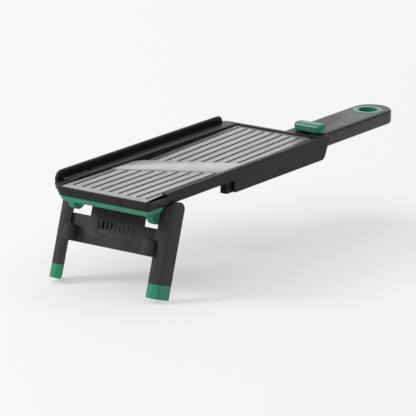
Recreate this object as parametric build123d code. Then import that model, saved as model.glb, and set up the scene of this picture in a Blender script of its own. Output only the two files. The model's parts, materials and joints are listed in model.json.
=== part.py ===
"""Folding-leg mandoline slicer, modelled in millimetres with +Z up.

The deck lies level.  +Y runs from the folding legs to the handle, and +X is to the right for
someone who looks at the leg end.  Pieces are drawn with the deck's rim at z = 0 and the front
end of the ridges at y = 0, and are moved to the final origin, under the middle, as they are saved.
"""
from build123d import *
import os
from math import atan, cos, degrees, radians, sin, tan

# ---------------------------------------------------------------- driving dimensions
HALF_WIDTH = 54.4         # outer face of the right rail
LEFT_OUT = -53.4          # outer face of the fence and the left rail
RAIL_IN = 50.7            # inner face of the right rail
RAIL_FRONT = 16.6         # the right rail starts behind the lower nose
FENCE_FRONT = 3.0
LEDGE_IN = -36.0          # inner face of the ledge beside the fence
FENCE_IN = -48.7          # inner face of the fence
FENCE_HEIGHT = 6.1
WALL = 2.5                # common plastic wall
RAIL_DEPTH = 10.3         # side rails at the leg end
POD_DEPTH = 21.5          # side rails at the handle end
POD_START = 119.5         # outer skin of the deep part of a rail
POD_STEP = 7.5            # the inner skin starts this much nearer the legs
DECK_FRONT = -10.3
DECK_BACK = 257.0
RAIL_BACK = 270.0         # the right rail runs on beside the handle
NOSE_SIDES = (-49.0, 57.0)  # the nose at its rim
NOSE_RADII = (13.0, 7.0)
NOSE_TOP = -2.3           # the outfeed plate lies on the nose
APRON_DEPTH = 11.0
APRON_TAPER = 22.0        # degrees, the nose narrows downwards
GRIP_HEIGHT = 5.2         # green bumper under the front wall
GRIP_TAPER = 30.0

PLATE_TOP = -1.7          # outfeed plate
PLATE_FRONT = -9.2
PLATE_CORNER = (52.6, 12.0)  # it widens in front of this y to this x
SHEET = 0.6               # steel sheet
RIDGE_PITCH = 9.45
RIDGE_FIRST = -29.3
RIDGE_COUNT = 9
RIDGE_WIDTH = 1.5
RIDGE_HEIGHT = 0.55

BLADE_SLOPE = 0.558       # the blade runs across the deck at about 29 degrees
BLADE_FRONT = 80.5        # front edge of the blade where x = 0
BLADE_EDGE = 118.0        # sharp edge of the blade where x = 0
BLADE_TOP = -1.4
BLADE_THICK = 1.0
BRIDGE_DEPTH = 6.0        # bar under the blade

RAMP_GAP = 1.6            # between the sharp edge and the ramp, seen from above
RAMP_TILT = 1.5           # degrees below level at rest, for 3 mm slices
RAMP_END = 253.0
RAMP_TOP_BACK = -1.3      # height of the ramp's surface at its pivot end
PIVOT_Y = 250.0
PIVOT_Z = -5.5
PIVOT_R = 1.5
RUNNING_GAP = 0.05        # radial room of a pin that turns

HANDLE_X = 32.0
HANDLE_WIDTH = 37.4
HANDLE_THICK = 12.7
HANDLE_END = 394.5
HANDLE_SKIN = 2.2
BASE_THICK = 1.5
RING_Y = 370.0
RING_R = 14.2
RING_HOLE_R = 8.8
RING_TUBE_R = 11.0
TONGUE_X = (18.5, 45.5)   # the frame's two tongues inside the handle
TONGUE_SCREW_Y = 268.0

SLIDER_X = 35.5
SLIDER_Y = 267.0
SLIDER_SIZE = (30.0, 12.5, 8.0)
SLIDE_MIN = -6.0          # thickness slider travel from rest
SLIDE_MAX = 9.0
TILT_PER_MM = 0.004       # radians of ramp tilt for each millimetre of slide
CAM_Y = 205.0             # where the ramp's foot stands on the wedge

HINGE_Y = 30.6
HINGE_Z = -15.5
HINGE_PIN_R = 2.0
LEG_SPLAY = 17.0          # degrees from upright, feet forward
LEG_IN = 45.2
LEG_OUT = 58.0
LEG_RIDGE = (51.0, -9.2)  # blunt ridge down the front, x and depth from the hinge axis
LEG_FACE = -7.4           # depth of the front face beside the ridge
LEG_BACK = 10.2
LEG_WALL = 2.4
LEG_TOP = 4.0
SKIRT_TOP = 5.6           # the outer skirt rises beside the rail
LEG_LENGTH = 78.6         # hinge axis to the flat sole, along the leg
FOOT_HEIGHT = 12.4
SOLE_R = 2.0              # back edge of the sole
PANEL_BOTTOM = -44.2
PANEL_FRONT = -5.5
PANEL_THICK = 2.5
RIM_DEPTH = 6.5           # flange round the panel's notches
NOTCH_IN = 26.5
NOTCH_BOTTOM = -20.2
BARREL = (41.8, -10.8)    # x and depth of the latch barrels
BARREL_R = 5.4
BARREL_TOP = -31.5
LOBE_R = 9.0
LOBE_Y = 20.0
LOBE_Z = -20.0
LOBE_IN = 38.2
LOBE_OUT = 44.5


# ---------------------------------------------------------------- helpers
def block(x, y, z):
    """A box between two corners, each axis given as (low, high)."""
    return Pos((x[0] + x[1]) / 2, (y[0] + y[1]) / 2, (z[0] + z[1]) / 2) * Box(
        x[1] - x[0], y[1] - y[0], z[1] - z[0])


def prism(points, low, high, plane=Plane.XY):
    """A straight-sided solid over a polygon, between two heights along the plane's normal."""
    face = make_face(Polyline(*points, close=True))
    return plane * extrude(Pos(0, 0, low) * face, amount=high - low)


def rod_x(radius, x, y, z):
    """A round bar along X between x[0] and x[1]."""
    return Pos((x[0] + x[1]) / 2, y, z) * Rot(0, 90, 0) * Cylinder(radius, x[1] - x[0])


def pin_z(radius, x, y, z):
    """A round bar along Z between z[0] and z[1]."""
    return Pos(x, y, (z[0] + z[1]) / 2) * Cylinder(radius, z[1] - z[0])


def across(offset, x):
    """The y of a line parallel to the blade that crosses x = 0 at the offset."""
    return offset + BLADE_SLOPE * x


def side_profile(points, x):
    """A solid over a polygon of (y, z) points, between two x values."""
    return prism(points, x[0], x[1], Plane.YZ)


def round_profile(points, radii, x):
    """Like side_profile, with one corner radius for each point, 0 for a sharp corner."""
    face = make_face(Polyline(*points, close=True))
    for (y, z), radius in zip(points, radii):
        if radius:
            face = fillet(face.vertices().sort_by_distance((y, z, 0))[0], radius)
    return Plane.YZ * extrude(Pos(0, 0, x[0]) * face, amount=x[1] - x[0])


def ridge_rows(y_low, y_high, top):
    """Round-ended ridges along Y: y_low and y_high may depend on x."""
    rows = []
    for index in range(RIDGE_COUNT):
        x = RIDGE_FIRST + RIDGE_PITCH * index
        low, high = y_low(x), y_high(x)
        outline = Pos(x, (low + high) / 2) * Rot(0, 0, 90) * SlotOverall(high - low, RIDGE_WIDTH)
        rows.append(extrude(Pos(0, 0, top - 0.2) * outline, amount=RIDGE_HEIGHT + 0.2))
    return rows


# ---------------------------------------------------------------- frame moulding
def nose_hull(inset, top, depth, taper):
    """A slice of the nose, narrowing downwards: its rim drawn in by the inset, and its top."""
    left, right, front = NOSE_SIDES[0] + inset, NOSE_SIDES[1] - inset, DECK_FRONT + inset
    plan = Pos((left + right) / 2, (front + 60) / 2) * Rectangle(right - left, 60 - front)
    for x, radius in zip((left, right), NOSE_RADII):
        corner = plan.vertices().sort_by_distance((x, front, 0))[0]
        plan = fillet(corner, radius - inset)
    return extrude(Pos(0, 0, top) * plan, amount=-depth, taper=taper)


def deck_slab():
    """The frame behind the nose as a plain slab with rounded ends to its rails."""
    plan = Pos((HALF_WIDTH + LEFT_OUT) / 2, (RAIL_FRONT + DECK_BACK) / 2) * Rectangle(
        HALF_WIDTH - LEFT_OUT, DECK_BACK - RAIL_FRONT)
    front_right = plan.vertices().group_by(Axis.Y)[0].sort_by(Axis.X)[-1]
    plan = fillet(front_right, 3.2)
    plan = fillet(plan.vertices().group_by(Axis.Y)[-1].sort_by(Axis.X)[0], 9.0)
    end = Pos((LEFT_OUT + FENCE_IN) / 2, (FENCE_FRONT + 20) / 2) * Rectangle(
        FENCE_IN - LEFT_OUT, 20 - FENCE_FRONT)
    end = fillet(end.vertices().group_by(Axis.Y)[0].sort_by(Axis.X)[0], 3.5)
    return extrude(plan, amount=-RAIL_DEPTH) + extrude(end, amount=-RAIL_DEPTH + 1)


def rail_side(back):
    """Side view of a deep rail from its step to its back end."""
    step = POD_START
    return [(step, -1), (step, -POD_DEPTH), (back - 8, -POD_DEPTH), (back - 2, -9), (back, -1)]


def deep_rail(side, back):
    """Deep outer skin, a shorter inner skin, and the floor and end wall that join them."""
    outer, inner, flange = HALF_WIDTH, RAIL_IN, 44.5
    radii = [0, 2, 6, 6, 0]
    skin = round_profile(rail_side(back), radii, (inner, outer))
    run = (POD_START - POD_STEP, 246)
    top = -RAIL_DEPTH if side > 0 else -WALL
    skin += block((inner - 1.7, inner + 0.8), run, (-POD_DEPTH, -13.5))
    skin += block((inner, inner + 0.8), run, (-POD_DEPTH, top + 0.1))
    skin += block((flange, inner + 0.8), run, (-POD_DEPTH, -POD_DEPTH + WALL))
    skin += block((flange, inner + 0.8), (run[0], run[0] + WALL), (-POD_DEPTH, top + 0.1))
    return skin if side > 0 else Pos(HALF_WIDTH + LEFT_OUT, 0, 0) * mirror(skin, Plane.YZ)


def fence():
    points = [(FENCE_FRONT, -3), (FENCE_FRONT, FENCE_HEIGHT), (251, FENCE_HEIGHT), (251, -3)]
    wall = round_profile(points, [0, 8, 5.5, 0], (LEFT_OUT, FENCE_IN))
    return fillet(wall.edges().group_by(Axis.Z)[-1].filter_by(Axis.Y), 2.0)


def whole_frame():
    """The black moulding as one solid, before it is parted into its five pieces."""
    nose = nose_hull(0, 0, -NOSE_TOP, 0) + nose_hull(0, NOSE_TOP, APRON_DEPTH + NOSE_TOP, APRON_TAPER)
    body = (nose & block((-70, 70), (-20, RAIL_FRONT + 2), (-20, 1))) + deck_slab()
    # the ledge falls away towards the front
    body -= side_profile([(18, 0), (18, 3), (-20, 3), (-20, -3)], (-60, LEDGE_IN))

    # room under the deck between the walls
    body -= block((LEDGE_IN, RAIL_IN), (14, 253.5), (-30, -4.3))
    body -= block((-LOBE_OUT - 0.8, 49.5), (DECK_FRONT + 2 * WALL, 14.5), (-30, -4.3))
    body -= block((LEFT_OUT + 3.5, LEDGE_IN - 2), (14, 246), (-30, -WALL))
    # the tray for the outfeed plate, and the open throat from the blade to the pivot
    body -= block((LEDGE_IN, RAIL_IN), (-20, 253.5), (PLATE_TOP - SHEET, 2))
    body -= block((LEDGE_IN, 70), (-20, RAIL_FRONT), (NOSE_TOP, 2))
    throat = [(LEDGE_IN, across(BLADE_FRONT, LEDGE_IN)), (RAIL_IN, across(BLADE_FRONT, RAIL_IN)),
              (RAIL_IN, 253.5), (LEDGE_IN, 253.5)]
    body -= prism(throat, -13, 2)

    body += deep_rail(1, RAIL_BACK) + deep_rail(-1, 252)
    body += fence()
    # deeper back wall, with two tongues that reach into the handle
    body += block((LEFT_OUT + 8, RAIL_IN), (253.5, DECK_BACK), (-HANDLE_THICK, -1))
    for x in TONGUE_X:
        body += block((x - 2.4, x + 2.4), (DECK_BACK - 1, DECK_BACK + 19), (-11.1, -HANDLE_SKIN - 0.1))
        body -= pin_z(1.4, x, TONGUE_SCREW_Y, (-20, -4.4))
    # pad under the ledge for the left hinge block
    body += block((-46, LEDGE_IN), (13, HINGE_Y + 8), (-4.3, -WALL + 0.2))

    # pocket in the nose between the plate and the rail
    body -= nose_hull(0.9, NOSE_TOP + 0.1, 4.5, APRON_TAPER) & block((51.3, 70), (-20, RAIL_FRONT), (-9, 0))
    # groove beside the plate, and the ledge's slot for the guide strip with its wide front end
    body -= prism([(LEDGE_IN - 3, -12), (LEDGE_IN + 1, -12), (LEDGE_IN + 1, 60), (LEDGE_IN - 0.2, 60),
                   (LEDGE_IN - 1.2, 10)], NOSE_TOP, 3)
    body -= prism([(-48.2, 46), (-48.2, 3), (-45.5, -3), (-43.4, 0), (-44.4, 20), (-44.4, 46)],
                  -2.3, 3)
    # the pivot rod's two seats, and the window for the slide bar
    body -= rod_x(PIVOT_R, (-46, 53), PIVOT_Y, PIVOT_Z)
    body -= block((22.5, 41.5), (250, 260), (-11.3, -7.9))
    # parting slots of the clip tab on the front wall
    for x in (-28.2, 25.4):
        body -= block((x - 0.4, x + 0.4), (-12, DECK_FRONT + 4.5), (-12, -3.2))
    return body


def frame_pieces():
    """The frame parted where its nodes meet."""
    body = whole_frame()
    left = block((-70, LEDGE_IN), (14, 246), (-30, 20)) + block((-70, LEDGE_IN), (-6, 14), (-WALL, 20))
    front = block((-70, 70), (-20, 14), (-30, 20)) - left
    right = block((RAIL_IN, 70), (14, 300), (-30, 20)) + block((44, 70), (14, 246), (-30, -RAIL_DEPTH + 0.1))
    back = block((-70, RAIL_IN), (246, 300), (-30, 20)) + block((-70, LEDGE_IN), (246, 253), (5, 20))
    tray = block((LEDGE_IN, RAIL_IN), (14, 246), (-30, 20)) - right
    places = {"side_rail_left": left, "side_rail_right": right, "front_apron": front,
              "rear_bridge": back, "outfeed_carrier": tray}
    return {name: body & place for name, place in places.items()}


# ---------------------------------------------------------------- cutting deck
def outfeed_plate():
    plan = [(LEDGE_IN + 0.1, PLATE_FRONT), (PLATE_CORNER[0], PLATE_FRONT),
            (RAIL_IN - 0.1, PLATE_CORNER[1]), (RAIL_IN - 0.1, across(BLADE_FRONT - 0.2, RAIL_IN)),
            (LEDGE_IN + 0.1, across(BLADE_FRONT - 0.2, LEDGE_IN))]
    plate = prism(plan, PLATE_TOP - SHEET, PLATE_TOP)
    for ridge in ridge_rows(lambda x: -1.0, lambda x: across(BLADE_FRONT - 4, x), PLATE_TOP):
        plate += ridge
    return plate


def blade():
    """A flat band ground to a sharp edge on the handle side."""
    low, high = LEDGE_IN + 0.1, RAIL_IN - 0.1
    plan = [(low, across(BLADE_FRONT, low)), (high, across(BLADE_FRONT, high)),
            (high, across(BLADE_EDGE, high)), (low + 7, across(BLADE_EDGE, low + 7)),
            (low, across(BLADE_EDGE - 7, low))]
    band = prism(plan, BLADE_TOP - BLADE_THICK, BLADE_TOP)
    ground = [(BLADE_EDGE + 1, BLADE_TOP - 0.3), (BLADE_EDGE - 5, BLADE_TOP - BLADE_THICK),
              (BLADE_EDGE - 5, BLADE_TOP - 3), (BLADE_EDGE + 1, BLADE_TOP - 3)]
    turn = degrees(atan(BLADE_SLOPE))
    shorten = cos(radians(turn))
    ground = [((y - BLADE_EDGE) * shorten, z) for y, z in ground]
    cutter = Pos(0, BLADE_EDGE, 0) * Rot(0, 0, turn) * side_profile(ground, (-80, 80))
    return band - cutter


def blade_bridge():
    """The bar under the blade that carries it from rail to rail."""
    low, high = LEDGE_IN + 0.1, RAIL_IN - 0.1
    top = BLADE_TOP - BLADE_THICK
    plan = [(low, across(BLADE_FRONT + 0.2, low)), (high, across(BLADE_FRONT + 0.2, high)),
            (high, across(BLADE_EDGE - 9, high)), (low, across(BLADE_EDGE - 9, low))]
    bar = prism(plan, top - 3.2, top)
    slim = [(low, across(BLADE_FRONT + 8, low)), (high, across(BLADE_FRONT + 8, high)),
            (high, across(BLADE_EDGE - 16, high)), (low, across(BLADE_EDGE - 16, low))]
    bar += prism(slim, top - BRIDGE_DEPTH, top - 3.2)
    for x, y in blade_screw_places():
        bar -= pin_z(1.4, x, y, (top - BRIDGE_DEPTH, top))
    return bar


def blade_screw_places():
    return [(x, across((BLADE_FRONT + BLADE_EDGE) / 2 - 4, x)) for x in (-24.0, 7.5, 39.0)]


def screws(places, top, bottom, shank_r=1.4, head_r=2.7, head=1.6, head_down=True):
    """Pan-head screws on Z axes, as separate solids with a cross recess."""
    group = []
    for x, y in places:
        shank = pin_z(shank_r, x, y, (bottom, top))
        span = (bottom, bottom + head) if head_down else (top - head, top)
        end = span[0] if head_down else span[1]
        cap = pin_z(head_r, x, y, span)
        recess = Pos(x, y, end) * (Box(3.2, 0.7, 1.4) + Box(0.7, 3.2, 1.4))
        group.append(shank + cap - recess)
    return group


def guide_strip():
    """Thin bent steel strip in the ledge's slot."""
    strip = block((-46.8, -45.7), (8, 42), (-1.8, -0.5))
    return strip + block((-47.6, -45.7), (40, 42), (-1.8, -0.5))


# ---------------------------------------------------------------- ramp
def ramp_height(y):
    return RAMP_TOP_BACK - (RAMP_END - y) * tan(radians(RAMP_TILT))


def ramp_plan(margin=0.0):
    low, high = LEDGE_IN + 0.5 + margin, RAIL_IN - 0.5 - margin
    start = BLADE_EDGE + RAMP_GAP + margin
    return [(low, across(start, low)), (high, across(start, high)), (high, RAMP_END - 5.5),
            (high - 7, RAMP_END - margin), (low, RAMP_END - margin)]


def ramp_plate():
    """Ridged steel sheet, modelled level and then tilted about the pivot end."""
    plate = prism(ramp_plan(), -SHEET, 0)
    rows = ridge_rows(lambda x: across(BLADE_EDGE + RAMP_GAP + 2.5, x), lambda x: RAMP_END - 5.5, 0)
    for ridge in rows:
        plate += ridge
    return RAMP_PLACE * plate


def ramp_carrier():
    """Plastic frame under the ramp's sheet, with the pivot knuckle and the cam foot."""
    tray = prism(ramp_plan(), -SHEET - 3.2, -SHEET)
    tray -= prism(ramp_plan(3.0), -SHEET - 4, -SHEET - 1.2)
    tray -= block((18, 46), (225, 260), (-SHEET - 4, -SHEET - 1.2))
    for x in (-20.0, 4.0, 14.0):
        tray += block((x - 0.9, x + 0.9), (150, 247), (-SHEET - 3.0, -SHEET - 0.6))
    tray = RAMP_PLACE * tray
    low, high = LEDGE_IN + 0.5, RAIL_IN - 0.5
    knuckle = rod_x(2.7, (low, high), PIVOT_Y, PIVOT_Z)
    knuckle += block((low, high), (PIVOT_Y - 2.7, PIVOT_Y - 1), (PIVOT_Z, ramp_height(PIVOT_Y) - SHEET - 0.3))
    tray += knuckle
    under = ramp_height(CAM_Y) - SHEET - 0.9
    tray += block((26, 38), (CAM_Y - 1.2, CAM_Y + 1.2), (CAM_TOP + 1.6, under))
    tray += rod_x(1.2, (26, 38), CAM_Y, CAM_TOP + 0.4 + 1.2)
    return tray - rod_x(PIVOT_R + RUNNING_GAP, (low - 1, high + 1), PIVOT_Y, PIVOT_Z)


# ---------------------------------------------------------------- thickness slider
def cam_slope():
    return TILT_PER_MM * (PIVOT_Y - CAM_Y)


def slide_bar():
    """Flat bar in the handle that reaches under the ramp and ends in the wedge."""
    x = (26.0, 38.0)
    bar = block((24, 40), (188, 284), (BAR_TOP - 2.2, BAR_TOP))
    near, far = CAM_Y - SLIDE_MAX - 3, CAM_Y - SLIDE_MIN + 3
    wedge = [(near, BAR_TOP - 0.5), (near, CAM_TOP + cam_slope() * (near - CAM_Y)),
             (far, CAM_TOP + cam_slope() * (far - CAM_Y)), (far, BAR_TOP - 0.5)]
    bar += side_profile(wedge, x)
    bar += block((SLIDER_X - 4, SLIDER_X + 4), (SLIDER_Y - 3, SLIDER_Y + 4), (BAR_TOP - 0.2, -4.2))
    bar -= pin_z(2.8, SLIDER_X, SLIDER_Y, (BAR_TOP - 3, BAR_TOP - 1.2))
    return bar - pin_z(1.4, SLIDER_X, SLIDER_Y, (-20, 0))


def slider_core(top):
    """The block on the stem's flange that fills the grip's hollow."""
    return block((SLIDER_X - 8, SLIDER_X + 8), (SLIDER_Y - 2.5, SLIDER_Y + 2.5), (1.5, top))


def slider_stem():
    """Stem through the handle's slot with the flange that carries the grip."""
    stem = block((SLIDER_X - 2.6, SLIDER_X + 2.6), (SLIDER_Y - 2.5, SLIDER_Y + 2.5), (-4.2, 0.4))
    flange = Pos(SLIDER_X, SLIDER_Y, 0.4) * extrude(RectangleRounded(23, 9.5, 3), amount=1.2)
    return stem + flange + slider_core(5.0) - pin_z(1.4, SLIDER_X, SLIDER_Y, (-5, 3.0))


def slider_grip():
    """Soft thumb bar with a rounded top and a hollow for the stem's core."""
    wide, deep, tall = SLIDER_SIZE
    grip = Pos(0, 0, tall / 2) * Box(wide, deep, tall)
    grip = fillet(grip.edges().filter_by(Axis.Z), 4.5)
    grip = fillet(grip.edges().group_by(Axis.Z)[-1], 3.4)
    grip = fillet(grip.edges().group_by(Axis.Z)[0], 1.6)
    grip = Pos(SLIDER_X, SLIDER_Y, 1.0) * grip
    flange = Pos(SLIDER_X, SLIDER_Y, 0) * extrude(RectangleRounded(23, 9.5, 3), amount=1.6)
    return grip - flange - slider_core(5.0)


def click_spring():
    """Bent leaf on the slide bar that clicks against the shell's roof ribs."""
    flat = block((27, 37), (274, 283), (BAR_TOP, BAR_TOP + 0.5))
    rise = side_profile([(272, BAR_TOP + 0.5), (274.5, BAR_TOP + 0.5), (281, -5.1), (280, -4.6),
                         (279, -4.7)], (29, 35))
    return flat + rise


# ---------------------------------------------------------------- handle
def handle_plan(inset=0.0, start=DECK_BACK):
    """Plan of the handle: straight sides and a round end."""
    half = HANDLE_WIDTH / 2 - inset
    centre = HANDLE_END - HANDLE_WIDTH / 2
    bar = Pos(HANDLE_X, (start + centre) / 2) * Rectangle(2 * half, centre - start)
    return bar + Pos(HANDLE_X, centre) * Circle(half)


def handle_screw_places():
    return [(x, TONGUE_SCREW_Y) for x in TONGUE_X] + [(HANDLE_X, 345.0)]


def handle_shell():
    """Outer shell, open underneath and at the deck end."""
    shell = extrude(Pos(0, 0, -HANDLE_THICK) * handle_plan(), amount=HANDLE_THICK)
    shell = fillet(shell.edges().group_by(Axis.Z)[-1].filter_by(lambda e: e.center().Y > 258), 2.4)
    shell = fillet(shell.edges().group_by(Axis.Z)[0].filter_by(lambda e: e.center().Y > 258), 2.0)
    hollow = Pos(0, 0, -HANDLE_THICK) * handle_plan(HANDLE_SKIN, DECK_BACK - 1)
    shell -= extrude(hollow, amount=HANDLE_THICK - HANDLE_SKIN)
    boss_x, boss_y = handle_screw_places()[-1]
    shell += pin_z(3.4, boss_x, boss_y, (-HANDLE_THICK + BASE_THICK, -HANDLE_SKIN + 0.3))
    shell -= pin_z(1.4, boss_x, boss_y, (-HANDLE_THICK, -4.4))
    slot = (SLIDER_Y - 3 + SLIDE_MIN, SLIDER_Y + 3 + SLIDE_MAX)
    shell -= block((SLIDER_X - 3.1, SLIDER_X + 3.1), slot, (-4, 1))
    shell += pin_z(RING_TUBE_R + 1.8, HANDLE_X, RING_Y, (-HANDLE_THICK + BASE_THICK, -1.0))
    shell -= pin_z(RING_R, HANDLE_X, RING_Y, (-1.6, 1))
    return shell - pin_z(RING_TUBE_R, HANDLE_X, RING_Y, (-HANDLE_THICK - 1, 1))


def handle_base():
    """Flat cover under the handle, held by the three screws."""
    plan = Pos(0, 0, -HANDLE_THICK) * handle_plan(HANDLE_SKIN)
    plate = extrude(plan, amount=BASE_THICK)
    plate -= pin_z(RING_TUBE_R, HANDLE_X, RING_Y, (-HANDLE_THICK - 1, -5))
    for x, y in handle_screw_places():
        plate -= pin_z(1.4, x, y, (-HANDLE_THICK - 1, -5))
        plate -= pin_z(2.7, x, y, (-HANDLE_THICK - 1, -HANDLE_THICK + 0.9))
    return plate


def hang_ring():
    tube = pin_z(RING_TUBE_R, HANDLE_X, RING_Y, (-HANDLE_THICK, -1.0))
    tube += pin_z(RING_R, HANDLE_X, RING_Y, (-1.6, 0.2))
    return tube - pin_z(RING_HOLE_R, HANDLE_X, RING_Y, (-HANDLE_THICK - 1, 2))


# ---------------------------------------------------------------- front grip and hinges
def front_grip():
    """Soft green bumper under the front wall, wrapped round both corners."""
    inset = (APRON_DEPTH + NOSE_TOP) * tan(radians(APRON_TAPER))
    reach = block((-70, 70), (-20, 9), (-30, 0)) + block((0, 70), (8, 16), (-30, 0))
    band = nose_hull(inset, -APRON_DEPTH, GRIP_HEIGHT, GRIP_TAPER) & reach
    return band - block((-36.5, LOBE_OUT + 0.1), (-2.0, 20), (-30, 0))


def hinge_block(side):
    """Green lug under the deck: a round lobe in front of the boss for the hinge pin."""
    x = (LOBE_IN, LOBE_OUT)
    lug = rod_x(LOBE_R, x, LOBE_Y, LOBE_Z) + rod_x(6.0, x, HINGE_Y, HINGE_Z)
    lug += side_profile([(LOBE_Y - LOBE_R, LOBE_Z), (14.5, -4.3), (HINGE_Y + 6, -4.3),
                         (HINGE_Y + 6, HINGE_Z), (HINGE_Y + 2.4, HINGE_Z - 5.5),
                         (LOBE_Y + 3.8, LOBE_Z - 8.1)], x)
    lug -= rod_x(HINGE_PIN_R, (30, 60), HINGE_Y, HINGE_Z)
    return lug if side > 0 else mirror(lug, Plane.YZ)


def hinge_pin(side):
    pin = rod_x(HINGE_PIN_R, (LOBE_IN, 54.0), HINGE_Y, HINGE_Z)
    pin += rod_x(HINGE_PIN_R + 1.6, (LOBE_IN - 1.4, LOBE_IN), HINGE_Y, HINGE_Z)
    return pin if side > 0 else mirror(pin, Plane.YZ)


# ---------------------------------------------------------------- folding legs
def leg_section():
    """Section of the right leg: a web with a blunt ridge down its front, and an outer skirt."""
    skirt = LEG_OUT - LEG_WALL + 0.6
    shape = make_face(Polyline(
        (LEG_IN, LEG_FACE), LEG_RIDGE, (LEG_OUT, LEG_FACE), (LEG_OUT, LEG_BACK), (skirt, LEG_BACK),
        (skirt, LEG_FACE + LEG_WALL), (LEG_IN + 1.5, LEG_FACE + LEG_WALL), close=True))
    shape = fillet(shape.vertices().sort_by_distance((LEG_OUT, LEG_FACE, 0))[0], 3.4)
    shape = fillet(shape.vertices().sort_by_distance((LEG_OUT, LEG_BACK, 0))[0], 1.2)
    return fillet(shape.vertices().sort_by_distance(LEG_RIDGE + (0,))[0], 2.0)


def leg_stock(low, high):
    return extrude(Pos(0, 0, low) * leg_section(), amount=high - low)


def leg_outline(top, x):
    """Side view of a leg and its foot with a round top, from x[0] to x[1]."""
    front = LEG_RIDGE[1]
    points = [(front, -LEG_LENGTH), (front, top), (LEG_BACK, top), (LEG_BACK, -LEG_LENGTH)]
    return round_profile(points, [1.0, 7, 8.5, SOLE_R], x)


def tenon():
    """Spigot of the leg inside the foot."""
    return block((LEG_IN + 3, LEG_OUT - 4), (LEG_FACE + 0.5, LEG_FACE + 1.9),
                 (FOOT_TOP - 6, FOOT_TOP + 1))


def leg_post():
    """The right leg from its round top to the foot, with a tenon for the foot."""
    web = leg_stock(FOOT_TOP, LEG_TOP) & leg_outline(LEG_TOP, (0, LEG_OUT - LEG_WALL))
    skirt = leg_stock(FOOT_TOP, SKIRT_TOP) & leg_outline(SKIRT_TOP, (LEG_OUT - LEG_WALL, 80))
    return web + skirt + rod_x(4.9, (LEG_IN + 0.3, LEG_OUT - 1.5), 0, 0) + tenon()


def leg_panel():
    """Panel between the legs, with flanged notches beside the hinge lugs and two latch barrels."""
    inner = LEG_IN + 1
    panel = block((-inner, inner), (PANEL_FRONT, PANEL_FRONT + PANEL_THICK), (PANEL_BOTTOM, -6))
    rim = (PANEL_FRONT, PANEL_FRONT + RIM_DEPTH)
    bx, by = BARREL
    for side in (-1, 1):
        notch = sorted((side * NOTCH_IN, side * (inner + 1)))
        panel -= block(notch, (-20, 20), (NOTCH_BOTTOM, 5))
        panel += block(sorted((side * (NOTCH_IN - 1.6), side * NOTCH_IN)), rim, (NOTCH_BOTTOM, -6))
        panel += block(sorted((side * (NOTCH_IN - 1.6), side * inner)), rim,
                       (NOTCH_BOTTOM - 1.6, NOTCH_BOTTOM))
        x = side * bx
        wall = pin_z(BARREL_R + 2.2, x, by + 4, (BARREL_TOP - 4, NOTCH_BOTTOM))
        panel += wall & block((-60, 60), (PANEL_FRONT, 10), (-60, 0))
        panel -= pin_z(BARREL_R + 0.6, x, by, (BARREL_TOP, NOTCH_BOTTOM + 1))
        panel += pin_z(BARREL_R, x, by, (PANEL_BOTTOM + 1.6, BARREL_TOP - 2))
        panel += Pos(x, by, BARREL_TOP - 2) * Sphere(BARREL_R)
    for index in range(9):
        x = (index - 4) * 4.6
        panel += block((x - 0.9, x + 0.9), (PANEL_FRONT - 0.5, PANEL_FRONT + 0.1), (-29, -22.5))
    for x, z in (((-14, 14), -34.6), ((-17, 17), -38.0)):
        panel += block(x, (PANEL_FRONT - 0.35, PANEL_FRONT + 0.1), (z - 0.5, z + 0.5))
    return panel


def leg_frame():
    post = leg_post()
    frame = post + mirror(post, Plane.YZ) + leg_panel()
    for x in ((40, 54.3), (-54.3, -40)):
        frame -= rod_x(HINGE_PIN_R + RUNNING_GAP, x, 0, 0)
    return LEG_PLACE * frame


def foot(side):
    cap = LEG_PLACE * ((leg_stock(-LEG_LENGTH, FOOT_TOP) & leg_outline(LEG_TOP, (0, 80))) - tenon())
    return cap if side > 0 else mirror(cap, Plane.YZ)


# ---------------------------------------------------------------- assembly
BAR_TOP = -8.7
CAM_TOP = BAR_TOP + 0.2 + SLIDE_MAX * cam_slope()
RAMP_PLACE = Pos(0, RAMP_END, RAMP_TOP_BACK) * Rot(RAMP_TILT, 0, 0) * Pos(0, -RAMP_END, 0)
LEG_PLACE = Pos(0, HINGE_Y, HINGE_Z) * Rot(-LEG_SPLAY, 0, 0)
FOOT_TOP = FOOT_HEIGHT - LEG_LENGTH
# floor to the deck's rim: the sole's back edge touches the floor
DECK_HEIGHT = (SOLE_R - HINGE_Z + (LEG_BACK - SOLE_R) * sin(radians(LEG_SPLAY))
               + (LEG_LENGTH - SOLE_R) * cos(radians(LEG_SPLAY)))


def pieces():
    """Every node of the slicer, in the drawing frame."""
    nodes = frame_pieces()
    nodes["outfeed_plate"] = outfeed_plate()
    nodes["blade"] = blade()
    nodes["blade_bridge"] = blade_bridge()
    nodes["guide_strip"] = guide_strip()
    nodes["pivot_rod"] = rod_x(PIVOT_R, (-46, 53), PIVOT_Y, PIVOT_Z)
    bridge_top = BLADE_TOP - BLADE_THICK
    nodes["blade_screws"] = screws(blade_screw_places(), bridge_top, bridge_top - BRIDGE_DEPTH - 1.6)
    nodes["ramp_plate"] = ramp_plate()
    nodes["ramp_carrier"] = ramp_carrier()
    nodes["slide_bar"] = slide_bar()
    nodes["slider_stem"] = slider_stem()
    nodes["slider_grip"] = slider_grip()
    nodes["slider_screw"] = screws([(SLIDER_X, SLIDER_Y)], 3.0, BAR_TOP - 2.2, head=0.9)[0]
    nodes["click_spring"] = click_spring()
    nodes["handle_shell"] = handle_shell()
    nodes["handle_base"] = handle_base()
    nodes["handle_screws"] = screws(handle_screw_places(), -4.4, -HANDLE_THICK, head=0.9)
    nodes["hang_ring"] = hang_ring()
    nodes["front_grip"] = front_grip()
    nodes["leg_frame"] = leg_frame()
    for name, side in (("left", -1), ("right", 1)):
        nodes["hinge_block_" + name] = hinge_block(side)
        nodes["hinge_pin_" + name] = hinge_pin(side)
        nodes["foot_" + name] = foot(side)
    return nodes


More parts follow.
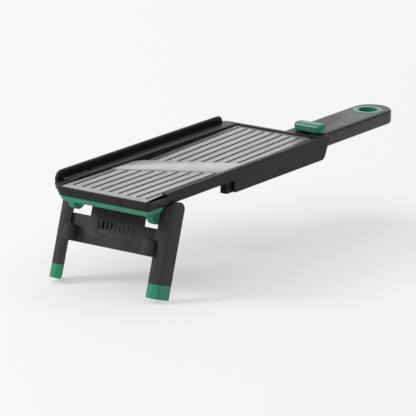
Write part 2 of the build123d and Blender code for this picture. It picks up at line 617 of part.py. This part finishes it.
def save():
    os.makedirs("parts", exist_ok=True)
    nodes = pieces()
    whole = Compound(children=[Compound(children=n) if isinstance(n, list) else n
                               for n in nodes.values()]).bounding_box()
    move = Pos(0, -(whole.min.Y + whole.max.Y) / 2, DECK_HEIGHT)
    for name, node in nodes.items():
        solids = node if isinstance(node, list) else node.solids()
        placed = [move * solid for solid in solids]
        export_step(placed[0] if len(placed) == 1 else Compound(children=placed),
                    f"parts/{name}.step")
    print("length", whole.size.Y, "move", move.position)


save()
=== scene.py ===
"""Looks of a folding-leg mandoline slicer, built round its CAD frame."""
import json
from math import cos, radians, sin

import bpy
from bpy.props import FloatProperty, FloatVectorProperty, PointerProperty
from mathutils import Matrix, Vector

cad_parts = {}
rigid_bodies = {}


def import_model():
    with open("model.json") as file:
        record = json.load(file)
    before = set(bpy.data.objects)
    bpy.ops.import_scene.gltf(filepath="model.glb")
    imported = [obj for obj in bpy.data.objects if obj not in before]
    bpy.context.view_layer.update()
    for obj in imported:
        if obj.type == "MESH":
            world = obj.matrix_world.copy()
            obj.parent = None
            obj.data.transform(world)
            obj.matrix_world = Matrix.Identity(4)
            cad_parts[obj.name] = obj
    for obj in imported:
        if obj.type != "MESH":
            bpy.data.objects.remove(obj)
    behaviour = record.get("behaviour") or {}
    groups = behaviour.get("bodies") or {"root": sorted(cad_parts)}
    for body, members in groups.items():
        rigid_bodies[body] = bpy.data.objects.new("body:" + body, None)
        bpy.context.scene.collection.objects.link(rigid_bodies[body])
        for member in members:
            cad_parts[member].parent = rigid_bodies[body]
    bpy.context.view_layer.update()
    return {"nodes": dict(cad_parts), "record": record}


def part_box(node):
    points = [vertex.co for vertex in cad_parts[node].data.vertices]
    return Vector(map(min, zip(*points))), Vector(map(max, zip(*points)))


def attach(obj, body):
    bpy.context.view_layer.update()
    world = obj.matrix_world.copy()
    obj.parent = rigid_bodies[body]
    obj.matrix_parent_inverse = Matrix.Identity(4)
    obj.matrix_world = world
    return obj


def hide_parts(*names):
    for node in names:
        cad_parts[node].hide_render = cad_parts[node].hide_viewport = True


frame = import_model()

bl_info = {
    "name": "Mandoline slicer",
    "version": (1, 0, 0),
    "blender": (4, 5, 0),
    "location": "View3D > Sidebar > Slicer",
    "description": "Builds the visible pieces of a mandoline slicer round its CAD frame",
    "category": "Object",
}

MM = 0.001
BODY_OF_NODE = {node: body for body, nodes in frame["record"]["behaviour"]["bodies"].items()
                for node in nodes}
SLOT_OF_NODE = {row["node"]: row["material_slot"] for row in frame["record"]["subparts"]}

# Cleaning of the CAD triangles
SAME_POINT = 0.002 * MM
SAME_POINT_AFTER_JOINING = 0.02 * MM
SAME_PLANE = radians(0.6)

# Edges that turn by more than this are rounded, or stay sharp in the shading
ROUNDED_ANGLE = radians(32)
SHARP_ANGLE = radians(34)

# Pressed ridges of the steel sheets
RIDGE_HEIGHT = 0.55 * MM
RIDGE_MARGIN = 0.08 * MM
# The ramp's sheet at rest: its slope, and how far its rear edge lies below the outfeed's ridges
RAMP_TILT = radians(1.5)
RAMP_REAR_DROP = 0.15 * MM

# Noise mostly lies between these values
NOISE_SPAN = (0.3, 0.7)

# Soft lights: name, place, width and length, and the setting with its power
SOFT_LIGHTS = (
    ("ceiling_light", (0, 0, 5), (8.0, 8.0), "overhead"),
    ("back_panel", (-1.4, 2.1, 0.95), (3.0, 1.6), "backdrop"),
    ("side_softbox", (-2.0, -1.9, 1.7), (0.9, 0.9), "side_light"),
)


# ------------------------------------------------------------------ settings
def colour(name, text, value):
    return FloatVectorProperty(name=name, description=text, default=value, size=3,
                               subtype="COLOR", min=0.0, max=1.0)


class SlicerColours(bpy.types.PropertyGroup):
    """Base colours of the slicer's finishes."""
    black: colour("Frame black", "Moulded frame and rails", (0.008, 0.008, 0.0085))
    leg_black: colour("Leg black", "Folding leg frame", (0.045, 0.045, 0.046))
    handle_black: colour("Handle black", "Handle shell and base", (0.011, 0.0113, 0.0116))
    sheet_steel: colour("Sheet steel", "Ridged deck sheets", (0.43, 0.435, 0.445))
    blade_steel: colour("Blade steel", "Ground blade", (0.50, 0.505, 0.505))
    # Painted shade: the ridges are the sheet's own steel, darkened to stand in for their shading.
    ridge_steel: colour("Ridge steel", "Sides of the pressed ridges", (0.10, 0.10, 0.105))
    bare_steel: colour("Bare steel", "Screws, pins and springs", (0.55, 0.55, 0.55))
    soft_green: colour("Soft green", "Bumper, lugs and feet", (0.009, 0.215, 0.112))
    firm_green: colour("Firm green", "Slider grip and hanging ring", (0.005, 0.150, 0.095))


class SlicerSizes(bpy.types.PropertyGroup):
    """Small edge sizes that the looks add to the CAD shapes."""
    moulded_edge: FloatProperty(name="Moulded edge", description="Edge radius of plastic parts",
                                default=0.0005, min=0.0, unit="LENGTH")
    fine_edge: FloatProperty(name="Fine edge", description="Edge radius of thin plastic parts",
                             default=0.0003, min=0.0, unit="LENGTH")
    soft_edge: FloatProperty(name="Soft edge", description="Edge radius of rubber parts",
                             default=0.0009, min=0.0, unit="LENGTH")
    foot_edge: FloatProperty(name="Foot edge", description="Edge radius of the soft feet",
                             default=0.00117, min=0.0, unit="LENGTH")
    metal_edge: FloatProperty(name="Metal edge", description="Edge radius of metal parts",
                              default=0.00012, min=0.0, unit="LENGTH")


class SlicerStage(bpy.types.PropertyGroup):
    """Camera, floor and lights."""
    azimuth: FloatProperty(name="Azimuth", description="Camera angle about the slicer",
                           default=radians(34.76), subtype="ANGLE")
    elevation: FloatProperty(name="Elevation", description="Camera angle above the floor",
                             default=radians(15.52), subtype="ANGLE")
    roll: FloatProperty(name="Roll", description="Camera turn about its own axis",
                        default=radians(0.49), subtype="ANGLE")
    distance: FloatProperty(name="Distance", description="Camera to the point it looks at",
                            default=3.05, min=0.1, unit="LENGTH")
    lens: FloatProperty(name="Lens", description="Focal length in millimetres",
                        default=293.5, min=10.0)
    target: FloatVectorProperty(name="Target", description="Point that the camera looks at",
                                default=(-0.023, -0.00135, 0.02935), size=3, subtype="TRANSLATION")
    floor_size: FloatProperty(name="Floor", description="Width of the pale floor",
                              default=14.0, min=1.0, unit="LENGTH")
    floor_tone: FloatProperty(name="Floor tone", description="Grey of the pale floor",
                              default=0.42, min=0.0, max=1.0)
    floor_glow: FloatProperty(name="Floor glow", description="Light that the floor gives off",
                              default=0.44, min=0.0)
    sky: FloatProperty(name="Surround", description="Strength of the pale surround",
                       default=0.36, min=0.0)
    overhead: FloatProperty(name="Ceiling light", description="Power of the wide light above",
                            default=190.0, min=0.0, unit="POWER")
    backdrop: FloatProperty(name="Back panel", description="Power of the panel behind the slicer",
                            default=13.0, min=0.0, unit="POWER")
    side_light: FloatProperty(name="Side softbox", description="Power of the softbox at the legs",
                              default=60.0, min=0.0, unit="POWER")


# ------------------------------------------------------------------ finishes
def new_finish(name, base, roughness, metallic=0.0, specular=0.5):
    """A material with its shader and a texture position in metres."""
    material = bpy.data.materials.new(name)
    material.use_nodes = True
    tree = material.node_tree
    shader = tree.nodes["Principled BSDF"]
    shader.inputs["Base Color"].default_value = (*base, 1.0)
    shader.inputs["Roughness"].default_value = roughness
    shader.inputs["Metallic"].default_value = metallic
    shader.inputs["Specular IOR Level"].default_value = specular
    place = tree.nodes.new("ShaderNodeTexCoord")
    return material, tree, shader, place.outputs["Object"]


def stretched(tree, place, scale):
    """The texture position, stretched by a scale for each axis."""
    mapping = tree.nodes.new("ShaderNodeMapping")
    mapping.inputs["Scale"].default_value = scale
    tree.links.new(place, mapping.inputs["Vector"])
    return mapping.outputs["Vector"]


def speckle(tree, place, scale, detail=3.0, rough=0.55):
    """Even noise, with its value near one half."""
    noise = tree.nodes.new("ShaderNodeTexNoise")
    noise.inputs["Scale"].default_value = scale
    noise.inputs["Detail"].default_value = detail
    noise.inputs["Roughness"].default_value = rough
    tree.links.new(place, noise.inputs["Vector"])
    return noise.outputs["Fac"]


def spread(tree, value, low, high):
    """The noise's usual span stretched to low..high."""
    remap = tree.nodes.new("ShaderNodeMapRange")
    remap.inputs["From Min"].default_value = NOISE_SPAN[0]
    remap.inputs["From Max"].default_value = NOISE_SPAN[1]
    remap.inputs["To Min"].default_value = low
    remap.inputs["To Max"].default_value = high
    tree.links.new(value, remap.inputs["Value"])
    return remap.outputs["Result"]


def shade_between(tree, value, dark, light):
    """Colour that runs from dark to light with the value."""
    ramp = tree.nodes.new("ShaderNodeValToRGB")
    stops = ramp.color_ramp.elements
    for stop, shade, position in zip(stops, (dark, light), NOISE_SPAN):
        stop.color = (*shade, 1.0)
        stop.position = position
    tree.links.new(value, ramp.inputs["Fac"])
    return ramp.outputs["Color"]


def raise_grain(tree, shader, heights):
    """Chain of bumps: each height is (value, strength, depth in metres)."""
    normal = None
    for value, strength, depth in heights:
        bump = tree.nodes.new("ShaderNodeBump")
        bump.inputs["Strength"].default_value = strength
        bump.inputs["Distance"].default_value = depth
        tree.links.new(value, bump.inputs["Height"])
        if normal:
            tree.links.new(normal, bump.inputs["Normal"])
        normal = bump.outputs["Normal"]
    tree.links.new(normal, shader.inputs["Normal"])


def scaled(base, factor):
    """A darker or lighter colour of the same hue."""
    return tuple(min(1.0, channel * factor) for channel in base)


def moulded_plastic(name, base, roughness, grain=0.3, specular=0.2):
    """Spark-textured moulding: fine grain, faint cloudy sheen and colour."""
    material, tree, shader, place = new_finish(name, base, roughness, specular=specular)
    clouds = speckle(tree, place, 38.0)
    spark = speckle(tree, place, 2600.0, detail=2.0)
    pores = speckle(tree, place, 5200.0, detail=1.0)
    tree.links.new(shade_between(tree, clouds, scaled(base, 0.88), scaled(base, 1.14)),
                   shader.inputs["Base Color"])
    tree.links.new(spread(tree, clouds, roughness - 0.04, roughness + 0.05),
                   shader.inputs["Roughness"])
    raise_grain(tree, shader, [(spark, grain, 0.12 * MM), (pores, grain * 0.5, 0.06 * MM)])
    return material


def soft_rubber(name, base, roughness):
    """Soft-touch rubber: fine matt skin with a little sheen and slow flow marks."""
    material, tree, shader, place = new_finish(name, base, roughness, specular=0.4)
    shader.inputs["Sheen Weight"].default_value = 0.12
    shader.inputs["Sheen Roughness"].default_value = 0.5
    flow = speckle(tree, stretched(tree, place, (1.0, 1.0, 2.4)), 60.0)
    skin = speckle(tree, place, 3400.0, detail=2.0)
    tree.links.new(shade_between(tree, flow, scaled(base, 0.9), scaled(base, 1.1)),
                   shader.inputs["Base Color"])
    tree.links.new(spread(tree, skin, roughness - 0.05, roughness + 0.08),
                   shader.inputs["Roughness"])
    raise_grain(tree, shader, [(skin, 0.25, 0.1 * MM)])
    return material


def gloss_plastic(name, base, roughness):
    """Smooth coloured plastic with a thin clear skin and faint waviness."""
    material, tree, shader, place = new_finish(name, base, roughness)
    shader.inputs["Coat Weight"].default_value = 0.25
    shader.inputs["Coat Roughness"].default_value = 0.18
    waves = speckle(tree, place, 120.0)
    dust = speckle(tree, place, 2400.0)
    tree.links.new(shade_between(tree, waves, scaled(base, 0.92), scaled(base, 1.1)),
                   shader.inputs["Base Color"])
    tree.links.new(spread(tree, dust, roughness - 0.04, roughness + 0.06),
                   shader.inputs["Roughness"])
    raise_grain(tree, shader, [(waves, 0.08, 0.3 * MM), (dust, 0.1, 0.05 * MM)])
    return material


def brushed_steel(name, base, roughness, lines, depth=0.01 * MM):
    """Steel brushed one way: streaks in tone and a shallow bump, clouds in roughness."""
    material, tree, shader, place = new_finish(name, base, roughness, metallic=1.0)
    shader.inputs["Anisotropic"].default_value = 0.35
    streaks = speckle(tree, stretched(tree, place, lines), 60.0, detail=6.0, rough=0.7)
    clouds = speckle(tree, place, 24.0)
    tree.links.new(shade_between(tree, streaks, scaled(base, 0.93), scaled(base, 1.05)),
                   shader.inputs["Base Color"])
    tree.links.new(spread(tree, clouds, roughness - 0.03, roughness + 0.05),
                   shader.inputs["Roughness"])
    raise_grain(tree, shader, [(streaks, 0.35, depth)])
    return material


def make_finishes(colours):
    """Every finish of the slicer by the record's slot, with the ridges' painted shade."""
    return {
        "black_plastic": moulded_plastic("frame_black", colours.black, 0.40),
        "leg_plastic": moulded_plastic("leg_black", colours.leg_black, 0.50, specular=0.1),
        "handle_plastic": moulded_plastic("handle_black", colours.handle_black, 0.40,
                                          grain=0.2, specular=0.5),
        "deck_steel": brushed_steel("sheet_steel", colours.sheet_steel, 0.42,
                                    lines=(60, 1.5, 60), depth=0.02 * MM),
        "blade_steel": brushed_steel("blade_steel", colours.blade_steel, 0.34, lines=(40, 2, 40)),
        "screw_steel": brushed_steel("bare_steel", colours.bare_steel, 0.32, lines=(20, 20, 20)),
        "green_rubber": soft_rubber("soft_green", colours.soft_green, 0.52),
        "green_plastic": gloss_plastic("firm_green", colours.firm_green, 0.34),
        # Darker steel on the ridges is painted shade, not a different metal.
        "ridges": brushed_steel("ridge_steel", colours.ridge_steel, 0.45, lines=(60, 2, 60)),
    }


FINISHES = {}


# ------------------------------------------------------------------ modelling helpers
def choose(item):
    """Selects this object alone and makes it active."""
    bpy.ops.object.select_all(action="DESELECT")
    item.select_set(True)
    bpy.context.view_layer.objects.active = item


def merged_copy(node, name):
    """A copy of a CAD node with its triangles joined into clean faces."""
    choose(frame["nodes"][node])
    bpy.ops.object.duplicate()
    piece = bpy.context.active_object
    piece.name = name
    piece.data.name = name
    bpy.ops.object.parent_clear(type="CLEAR_KEEP_TRANSFORM")
    bpy.ops.object.mode_set(mode="EDIT")
    bpy.ops.mesh.select_all(action="SELECT")
    bpy.ops.mesh.remove_doubles(threshold=SAME_POINT)
    bpy.ops.mesh.customdata_custom_splitnormals_clear()
    bpy.ops.mesh.dissolve_limited(angle_limit=SAME_PLANE)
    bpy.ops.object.mode_set(mode="OBJECT")
    return piece


def clean_joined(piece):
    """Removes the seams that joining leaves in a moulding."""
    choose(piece)
    bpy.ops.object.mode_set(mode="EDIT")
    bpy.ops.mesh.select_all(action="SELECT")
    bpy.ops.mesh.remove_doubles(threshold=SAME_POINT_AFTER_JOINING)
    bpy.ops.mesh.dissolve_limited(angle_limit=SAME_PLANE)
    bpy.ops.object.mode_set(mode="OBJECT")


def apply_modifier(piece, kind, **settings):
    """Adds one modifier, sets it and applies it."""
    choose(piece)
    modifier = piece.modifiers.new(kind.lower(), kind)
    for name, value in settings.items():
        setattr(modifier, name, value)
    bpy.ops.object.modifier_apply(modifier=modifier.name)


def round_edges(piece, width, segments=3):
    """Rounds the edges that turn sharply."""
    apply_modifier(piece, "BEVEL", width=width, segments=segments, limit_method="ANGLE",
                   angle_limit=ROUNDED_ANGLE, use_clamp_overlap=True, miter_outer="MITER_ARC",
                   harden_normals=False)


def finish_piece(piece, nodes, slot):
    """Smooths, paints and places the piece, and lets it stand for its CAD nodes."""
    choose(piece)
    bpy.ops.object.shade_smooth_by_angle(angle=SHARP_ANGLE)
    piece.data.materials.clear()
    piece.data.materials.append(FINISHES[slot])
    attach(piece, BODY_OF_NODE[nodes[0]])
    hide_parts(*nodes)


def dress(node, name, width, segments=3):
    """A CAD node's own shape with rounded edges and its finish."""
    piece = merged_copy(node, name)
    if width:
        round_edges(piece, width, segments)
    finish_piece(piece, [node], SLOT_OF_NODE[node])
    return piece


def paint_ridge_shade(piece, level, tilt=0.0, pivot=0.0):
    """Gives the faces that stand above the sheet a darker steel, painted shade that stands in for
    the ridges' shading.
    """
    piece.data.materials.append(FINISHES["ridges"])
    for face in piece.data.polygons:
        sheet = level + (face.center.y - pivot) * tilt
        if face.center.z > sheet + RIDGE_MARGIN:
            face.material_index = 1


# ------------------------------------------------------------------ stage helpers
def add_floor(stage):
    bpy.ops.object.select_all(action="DESELECT")
    bpy.ops.mesh.primitive_plane_add(size=stage.floor_size, location=(0, 0, 0))
    floor = bpy.context.active_object
    floor.name = "pale_floor"
    material, _, shader, _ = new_finish("pale_floor", [stage.floor_tone] * 3, 0.9, specular=0.1)
    shader.inputs["Emission Color"].default_value = (1, 1, 1, 1)
    shader.inputs["Emission Strength"].default_value = stage.floor_glow
    floor.data.materials.append(material)


def pale_surround(strength):
    """A world of plain white light."""
    world = bpy.data.worlds.new("pale_surround")
    world.use_nodes = True
    background = world.node_tree.nodes["Background"]
    background.inputs["Color"].default_value = (1, 1, 1, 1)
    background.inputs["Strength"].default_value = strength
    return world


def add_softbox(name, place, size, power):
    """A rectangular light that faces the slicer."""
    bpy.ops.object.light_add(type="AREA", location=place)
    light = bpy.context.active_object
    light.name = name
    light.data.shape = "RECTANGLE"
    light.data.size, light.data.size_y = size
    light.data.energy = power
    light.rotation_euler = (-Vector(place)).to_track_quat("-Z", "Y").to_euler()


def add_camera(stage):
    """A long-lens camera that looks at the target from the stage's angles."""
    up, side = stage.elevation, stage.azimuth
    back = Vector((sin(side) * cos(up), -cos(side) * cos(up), sin(up)))
    bpy.ops.object.camera_add(location=Vector(stage.target) + back * stage.distance)
    camera = bpy.context.active_object
    camera.name = "view_camera"
    aim = (-back).to_track_quat("-Z", "Y").to_matrix()
    camera.rotation_euler = (aim @ Matrix.Rotation(stage.roll, 3, "Z")).to_euler()
    camera.data.lens = stage.lens
    camera.data.clip_end = 100.0
    return camera


# ------------------------------------------------------------------ operators
class SLICER_OT_finishes(bpy.types.Operator):
    """Makes the plastic, steel and rubber finishes"""
    bl_idname = "slicer.finishes"
    bl_label = "Finishes"
    bl_options = {"REGISTER", "UNDO"}

    def execute(self, context):
        FINISHES.update(make_finishes(context.scene.slicer_colours))
        return {"FINISHED"}


class SLICER_OT_frame(bpy.types.Operator):
    """Builds the black frame moulding with its fence, rails and front wall"""
    bl_idname = "slicer.frame"
    bl_label = "Frame moulding"
    bl_options = {"REGISTER", "UNDO"}

    def execute(self, context):
        nodes = ["side_rail_left", "side_rail_right", "front_apron", "rear_bridge",
                 "outfeed_carrier"]
        body = merged_copy(nodes[0], "deck_frame")
        for node in nodes[1:]:
            part = merged_copy(node, "joining")
            apply_modifier(body, "BOOLEAN", operation="UNION", object=part, solver="EXACT")
            bpy.data.objects.remove(part)
        clean_joined(body)
        round_edges(body, context.scene.slicer_sizes.moulded_edge)
        finish_piece(body, nodes, "black_plastic")
        return {"FINISHED"}


class SLICER_OT_plates(bpy.types.Operator):
    """Builds the ridged outfeed plate and the ramp's ridged sheet"""
    bl_idname = "slicer.plates"
    bl_label = "Ridged sheets"
    bl_options = {"REGISTER", "UNDO"}

    def execute(self, context):
        width = context.scene.slicer_sizes.metal_edge
        ridge_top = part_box("outfeed_plate")[1][2]
        ramp_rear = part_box("ramp_plate")[1][1]
        outfeed = dress("outfeed_plate", "outfeed_sheet", width, 2)
        # The raised ridge faces of both sheets get the painted shade.
        paint_ridge_shade(outfeed, ridge_top - RIDGE_HEIGHT)
        ramp = dress("ramp_plate", "ramp_sheet", width, 2)
        paint_ridge_shade(ramp, ridge_top - RAMP_REAR_DROP, RAMP_TILT, ramp_rear)
        return {"FINISHED"}


class SLICER_OT_blade(bpy.types.Operator):
    """Builds the slanted blade and the bar that carries it"""
    bl_idname = "slicer.blade"
    bl_label = "Blade"
    bl_options = {"REGISTER", "UNDO"}

    def execute(self, context):
        sizes = context.scene.slicer_sizes
        dress("blade", "slanted_blade", sizes.metal_edge * 0.5, 2)
        dress("blade_bridge", "blade_bar", sizes.moulded_edge)
        return {"FINISHED"}


class SLICER_OT_ramp(bpy.types.Operator):
    """Builds the plastic carrier under the ramp"""
    bl_idname = "slicer.ramp"
    bl_label = "Ramp carrier"
    bl_options = {"REGISTER", "UNDO"}

    def execute(self, context):
        dress("ramp_carrier", "ramp_base", context.scene.slicer_sizes.fine_edge)
        return {"FINISHED"}


class SLICER_OT_slider(bpy.types.Operator):
    """Builds the thumb slider, its stem, wedge bar and click spring"""
    bl_idname = "slicer.slider"
    bl_label = "Thickness slider"
    bl_options = {"REGISTER", "UNDO"}

    def execute(self, context):
        sizes = context.scene.slicer_sizes
        dress("slider_grip", "thumb_bar", sizes.metal_edge)
        dress("slider_stem", "thumb_stem", sizes.fine_edge)
        dress("slide_bar", "wedge_bar", sizes.fine_edge)
        dress("click_spring", "click_leaf", sizes.metal_edge, 2)
        return {"FINISHED"}


class SLICER_OT_handle(bpy.types.Operator):
    """Builds the handle's shell and the cover under it"""
    bl_idname = "slicer.handle"
    bl_label = "Handle"
    bl_options = {"REGISTER", "UNDO"}

    def execute(self, context):
        sizes = context.scene.slicer_sizes
        dress("handle_shell", "handle_top", sizes.fine_edge)
        dress("handle_base", "handle_cover", sizes.moulded_edge * 0.5)
        return {"FINISHED"}


class SLICER_OT_ring(bpy.types.Operator):
    """Builds the green lining of the hanging hole"""
    bl_idname = "slicer.ring"
    bl_label = "Hanging ring"
    bl_options = {"REGISTER", "UNDO"}

    def execute(self, context):
        dress("hang_ring", "hanging_ring", context.scene.slicer_sizes.moulded_edge)
        return {"FINISHED"}


class SLICER_OT_grips(bpy.types.Operator):
    """Builds the green bumper under the front wall and the two hinge lugs"""
    bl_idname = "slicer.grips"
    bl_label = "Bumper and hinge lugs"
    bl_options = {"REGISTER", "UNDO"}

    def execute(self, context):
        width = context.scene.slicer_sizes.soft_edge
        dress("front_grip", "front_bumper", width)
        for side in ("left", "right"):
            dress("hinge_block_" + side, "hinge_lug_" + side, width)
        return {"FINISHED"}


class SLICER_OT_legs(bpy.types.Operator):
    """Builds the folding legs with their panel"""
    bl_idname = "slicer.legs"
    bl_label = "Folding legs"
    bl_options = {"REGISTER", "UNDO"}

    def execute(self, context):
        dress("leg_frame", "folding_legs", context.scene.slicer_sizes.moulded_edge)
        return {"FINISHED"}


class SLICER_OT_feet(bpy.types.Operator):
    """Builds the two soft feet"""
    bl_idname = "slicer.feet"
    bl_label = "Feet"
    bl_options = {"REGISTER", "UNDO"}

    def execute(self, context):
        for side in ("left", "right"):
            dress("foot_" + side, "soft_foot_" + side, context.scene.slicer_sizes.foot_edge, 4)
        return {"FINISHED"}


class SLICER_OT_hardware(bpy.types.Operator):
    """Builds the screws, pins, pivot rod and the ledge's strip"""
    bl_idname = "slicer.hardware"
    bl_label = "Screws, pins and strip"
    bl_options = {"REGISTER", "UNDO"}

    def execute(self, context):
        nodes = ("blade_screws", "handle_screws", "slider_screw", "hinge_pin_left",
                 "hinge_pin_right", "pivot_rod", "guide_strip")
        for node in nodes:
            dress(node, "steel_" + node, context.scene.slicer_sizes.metal_edge, 2)
        return {"FINISHED"}


class SLICER_OT_stage(bpy.types.Operator):
    """Sets the pale floor, the soft lights and the camera"""
    bl_idname = "slicer.stage"
    bl_label = "Stage"
    bl_options = {"REGISTER", "UNDO"}

    def execute(self, context):
        scene = context.scene
        stage = scene.slicer_stage
        add_floor(stage)
        scene.world = pale_surround(stage.sky)
        for name, place, size, power in SOFT_LIGHTS:
            add_softbox(name, place, size, getattr(stage, power))
        scene.camera = add_camera(stage)
        scene.view_settings.view_transform = "Standard"
        return {"FINISHED"}


BUILDERS = (SLICER_OT_finishes, SLICER_OT_frame, SLICER_OT_plates, SLICER_OT_blade,
            SLICER_OT_ramp, SLICER_OT_slider, SLICER_OT_handle, SLICER_OT_ring, SLICER_OT_grips,
            SLICER_OT_legs, SLICER_OT_feet, SLICER_OT_hardware, SLICER_OT_stage)


class SLICER_PT_pieces(bpy.types.Panel):
    """Lists the slicer's pieces"""
    bl_idname = "SLICER_PT_pieces"
    bl_label = "Mandoline slicer"
    bl_space_type = "VIEW_3D"
    bl_region_type = "UI"
    bl_category = "Slicer"

    def draw(self, context):
        for builder in BUILDERS:
            self.layout.operator(builder.bl_idname)
        for settings in (context.scene.slicer_colours, context.scene.slicer_sizes,
                         context.scene.slicer_stage):
            box = self.layout.box()
            for name in settings.__annotations__:
                box.prop(settings, name)


CLASSES = (SlicerColours, SlicerSizes, SlicerStage, *BUILDERS, SLICER_PT_pieces)


def register():
    for item in CLASSES:
        bpy.utils.register_class(item)
    bpy.types.Scene.slicer_colours = PointerProperty(type=SlicerColours)
    bpy.types.Scene.slicer_sizes = PointerProperty(type=SlicerSizes)
    bpy.types.Scene.slicer_stage = PointerProperty(type=SlicerStage)


def unregister():
    del bpy.types.Scene.slicer_stage
    del bpy.types.Scene.slicer_sizes
    del bpy.types.Scene.slicer_colours
    for item in reversed(CLASSES):
        bpy.utils.unregister_class(item)


def main():
    register()
    for builder in BUILDERS:
        group, name = builder.bl_idname.split(".")
        getattr(getattr(bpy.ops, group), name)()


if __name__ == "__main__":
    main()
